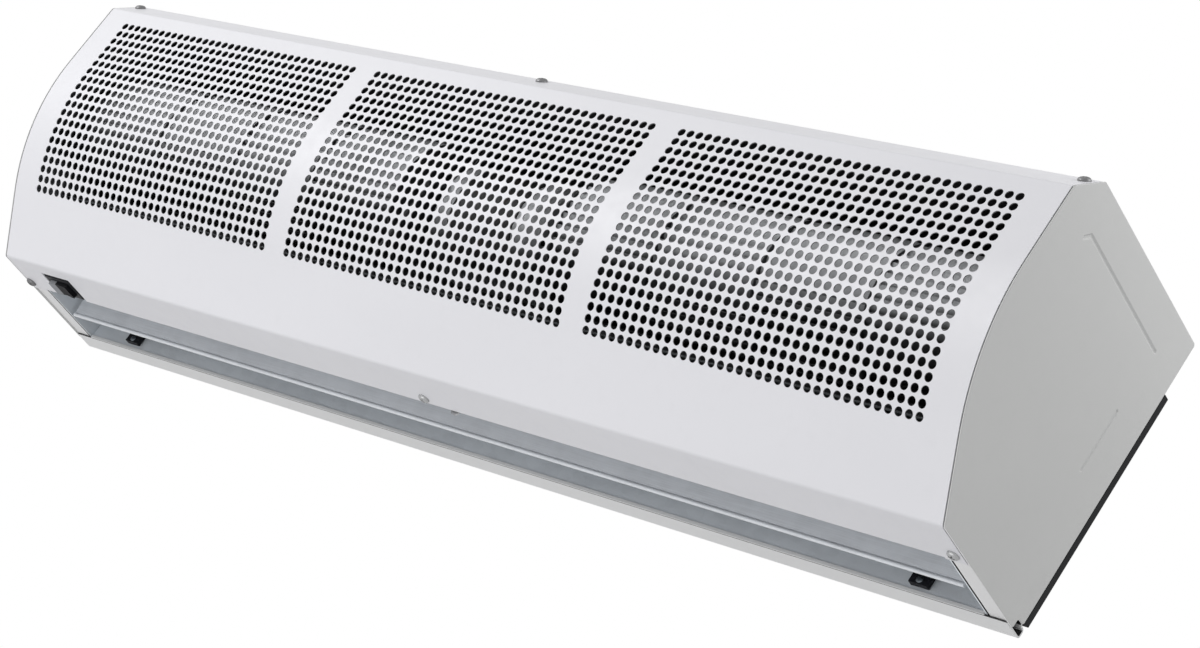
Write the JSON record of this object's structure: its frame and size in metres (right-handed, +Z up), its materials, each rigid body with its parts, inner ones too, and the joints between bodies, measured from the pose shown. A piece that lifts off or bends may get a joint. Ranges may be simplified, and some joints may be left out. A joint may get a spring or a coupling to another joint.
{
  "type": "air curtain",
  "caption": "Wall-mounted air curtain: folded sheet casing, curved perforated cover, cross-flow fan rotor, bottom slot with a tilting vane.",
  "frame": {"origin": "middle of the wall plate's back face, which lies on the wall", "axes": "+Z up as installed, +Y into the wall, +X along the unit towards its right end seen from the front"},
  "size_m": [0.9, 0.1757, 0.2195],
  "materials": {
    "cover_paint": "smooth satin powder coat",
    "casing_paint": "smooth satin powder coat",
    "cap_paint": "fine grained powder coat",
    "bare_sheet": "galvanised sheet",
    "aluminium": "mill finish",
    "vane_sheet": "matt anodised",
    "steel": "machined",
    "zinc": "bright zinc plate",
    "black_plastic": "moulded",
    "ivory_plastic": "moulded",
    "rubber": "moulded",
    "plate_paint": "satin black paint",
    "cable": "flexible sheath"
  },
  "bodies": {
    "root": {"casing": "casing_paint", "front_cover": "cover_paint", "end_cap_right": "cap_paint", "end_cap_left": "cap_paint", "wall_plate": "plate_paint", "cable_grommet": "rubber", "cover_screw_top_left": "zinc", "cover_screw_top_middle": "zinc", "cover_screw_top_right": "zinc", "cover_screw_bottom_left": "zinc", "cover_screw_bottom_middle": "zinc", "cover_screw_bottom_right": "zinc", "nozzle_screw": "zinc", "scroll_guide": "bare_sheet", "air_tongue": "bare_sheet", "side_plate_right": "bare_sheet", "side_plate_left": "bare_sheet", "motor_stator": "steel", "motor_end_bell_right": "aluminium", "motor_end_bell_left": "aluminium", "motor_rubber_ring_right": "rubber", "motor_rubber_ring_left": "rubber", "motor_hanger": "bare_sheet", "motor_strap_right": "bare_sheet", "motor_strap_left": "bare_sheet", "end_bearing_right": "steel", "end_bearing_left": "steel", "bearing_rubber_right": "rubber", "bearing_rubber_left": "rubber", "vane_clip_left": "black_plastic", "vane_clip_right": "black_plastic", "switch_housing": "black_plastic", "terminal_block": "ivory_plastic", "capacitor": "ivory_plastic", "switch_lead": "cable", "capacitor_lead": "cable", "motor_lead": "cable"},
    "rotor": {"motor_shaft": "steel", "motor_rotor": "steel", "hub_bush_right": "rubber", "hub_bush_left": "rubber", "impeller_right": "aluminium", "impeller_left": "aluminium", "stub_shaft_right": "steel", "stub_shaft_left": "steel"},
    "vane": {"deflector_vane": "vane_sheet", "vane_pin_left": "steel", "vane_pin_right": "steel"},
    "rocker": {"switch_rocker": "black_plastic"}
  },
  "joints": [
    {"name": "rotor_spin", "type": "hinge", "parent": "root", "child": "rotor", "pos_m": [0, -0.0953, 0.0345], "axis": [1, 0, 0], "continuous": true},
    {"name": "vane_tilt", "type": "hinge", "parent": "root", "child": "vane", "pos_m": [0, -0.04047, -0.0675], "axis": [1, 0, 0], "range_deg": [-18, 18]},
    {"name": "switch_rock", "type": "hinge", "parent": "root", "child": "rocker", "pos_m": [-0.397, -0.0885, -0.09305], "axis": [0, 1, 0], "range_deg": [-8, 8]}
  ]
}
